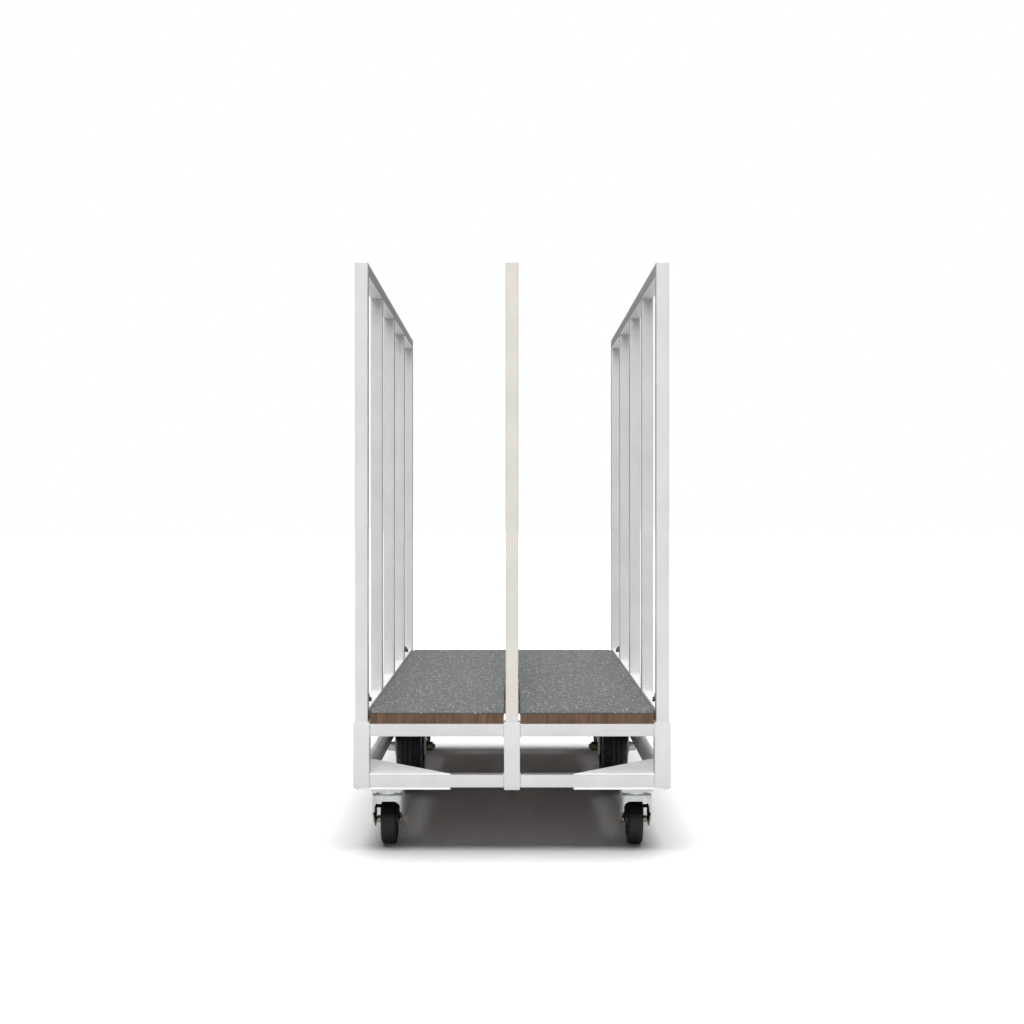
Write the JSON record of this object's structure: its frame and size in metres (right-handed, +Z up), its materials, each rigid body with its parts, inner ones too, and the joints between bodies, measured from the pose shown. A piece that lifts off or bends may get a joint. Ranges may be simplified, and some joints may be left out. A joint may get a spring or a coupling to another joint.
{
  "type": "panel trolley",
  "caption": "Steel platform trolley with upright side frames and a centre divider for carrying panels on edge, on swivel corner casters and large middle wheels.",
  "frame": {"origin": "on the floor, under the middle of the trolley", "axes": "+Z up, Y along the trolley with the pictured end at -Y, X across it"},
  "size_m": [0.794, 1.64, 1.476],
  "materials": {
    "powder_steel": "satin white powder coat",
    "zinc_steel": "bright zinc plate",
    "fastener_steel": "dull zinc plate",
    "film_plywood": "film-faced plywood",
    "deck_carpet": "needle-punched carpet",
    "tyre_rubber": "black rubber",
    "caster_nylon": "dark moulded nylon",
    "brake_plastic": "black moulded nylon",
    "rim_steel": "dark grey paint"
  },
  "bodies": {
    "base": {"corner_sockets": "powder_steel", "center_sockets": "powder_steel", "socket_end_plates": "powder_steel", "end_upper_rails": "powder_steel", "end_lower_rails": "powder_steel", "side_upper_rails": "powder_steel", "side_lower_rails": "powder_steel", "center_rails": "powder_steel", "deck_joists": "powder_steel", "wheel_joists": "powder_steel", "corner_gussets": "powder_steel", "caster_mounting_plates": "powder_steel", "left_deck_board": "film_plywood", "right_deck_board": "film_plywood", "left_deck_carpet": "deck_carpet", "right_deck_carpet": "deck_carpet", "deck_screws": "zinc_steel", "frame_bolts": "fastener_steel", "frame_nuts": "fastener_steel", "side_frame_posts": "powder_steel", "side_frame_uprights": "powder_steel", "side_frame_top_rails": "powder_steel", "side_frame_bottom_rails": "powder_steel", "divider_posts": "powder_steel", "divider_uprights": "powder_steel", "divider_top_rail": "powder_steel", "divider_bottom_rail": "powder_steel", "caster_top_plates": "zinc_steel", "caster_plate_bolts": "zinc_steel", "caster_kingpins": "zinc_steel", "caster_races": "zinc_steel", "caster_ball_rings": "zinc_steel", "middle_forks": "powder_steel", "middle_fork_bolts": "fastener_steel", "middle_axles": "fastener_steel", "middle_axle_nuts": "fastener_steel"},
    "front_left_swivel": {"front_left_fork": "zinc_steel", "front_left_axle": "fastener_steel", "front_left_brake_pin": "zinc_steel"},
    "front_left_wheel": {"front_left_rim": "caster_nylon", "front_left_tyre": "tyre_rubber"},
    "front_left_pedal": {"front_left_brake_pedal": "brake_plastic"},
    "front_right_swivel": {"front_right_fork": "zinc_steel", "front_right_axle": "fastener_steel", "front_right_brake_pin": "zinc_steel"},
    "front_right_wheel": {"front_right_rim": "caster_nylon", "front_right_tyre": "tyre_rubber"},
    "front_right_pedal": {"front_right_brake_pedal": "brake_plastic"},
    "rear_left_swivel": {"rear_left_fork": "zinc_steel", "rear_left_axle": "fastener_steel"},
    "rear_left_wheel": {"rear_left_rim": "caster_nylon", "rear_left_tyre": "tyre_rubber"},
    "rear_right_swivel": {"rear_right_fork": "zinc_steel", "rear_right_axle": "fastener_steel"},
    "rear_right_wheel": {"rear_right_rim": "caster_nylon", "rear_right_tyre": "tyre_rubber"},
    "left_middle_wheel": {"left_middle_rim": "rim_steel", "left_middle_tyre": "tyre_rubber"},
    "right_middle_wheel": {"right_middle_rim": "rim_steel", "right_middle_tyre": "tyre_rubber"}
  },
  "joints": [
    {"name": "front_left_swivel_turn", "type": "hinge", "parent": "base", "child": "front_left_swivel", "pos_m": [-0.3135, -0.762, 0.1377], "axis": [0, 0, 1], "continuous": true},
    {"name": "front_left_wheel_spin", "type": "hinge", "parent": "front_left_swivel", "child": "front_left_wheel", "pos_m": [-0.3135, -0.722, 0.0625], "axis": [1, 0, 0], "continuous": true},
    {"name": "front_left_brake_press", "type": "hinge", "parent": "front_left_swivel", "child": "front_left_pedal", "pos_m": [-0.3135, -0.782, 0.108], "axis": [1, 0, 0], "range_deg": [0, 18]},
    {"name": "front_right_swivel_turn", "type": "hinge", "parent": "base", "child": "front_right_swivel", "pos_m": [0.3135, -0.762, 0.1377], "axis": [0, 0, 1], "continuous": true},
    {"name": "front_right_wheel_spin", "type": "hinge", "parent": "front_right_swivel", "child": "front_right_wheel", "pos_m": [0.3135, -0.722, 0.0625], "axis": [1, 0, 0], "continuous": true},
    {"name": "front_right_brake_press", "type": "hinge", "parent": "front_right_swivel", "child": "front_right_pedal", "pos_m": [0.3135, -0.782, 0.108], "axis": [1, 0, 0], "range_deg": [0, 18]},
    {"name": "rear_left_swivel_turn", "type": "hinge", "parent": "base", "child": "rear_left_swivel", "pos_m": [-0.3135, 0.762, 0.1377], "axis": [0, 0, 1], "continuous": true},
    {"name": "rear_left_wheel_spin", "type": "hinge", "parent": "rear_left_swivel", "child": "rear_left_wheel", "pos_m": [-0.3135, 0.722, 0.0625], "axis": [1, 0, 0], "continuous": true},
    {"name": "rear_right_swivel_turn", "type": "hinge", "parent": "base", "child": "rear_right_swivel", "pos_m": [0.3135, 0.762, 0.1377], "axis": [0, 0, 1], "continuous": true},
    {"name": "rear_right_wheel_spin", "type": "hinge", "parent": "rear_right_swivel", "child": "rear_right_wheel", "pos_m": [0.3135, 0.722, 0.0625], "axis": [1, 0, 0], "continuous": true},
    {"name": "left_middle_wheel_spin", "type": "hinge", "parent": "base", "child": "left_middle_wheel", "pos_m": [-0.31, 0, 0.13], "axis": [1, 0, 0], "continuous": true},
    {"name": "right_middle_wheel_spin", "type": "hinge", "parent": "base", "child": "right_middle_wheel", "pos_m": [0.31, 0, 0.13], "axis": [1, 0, 0], "continuous": true}
  ]
}
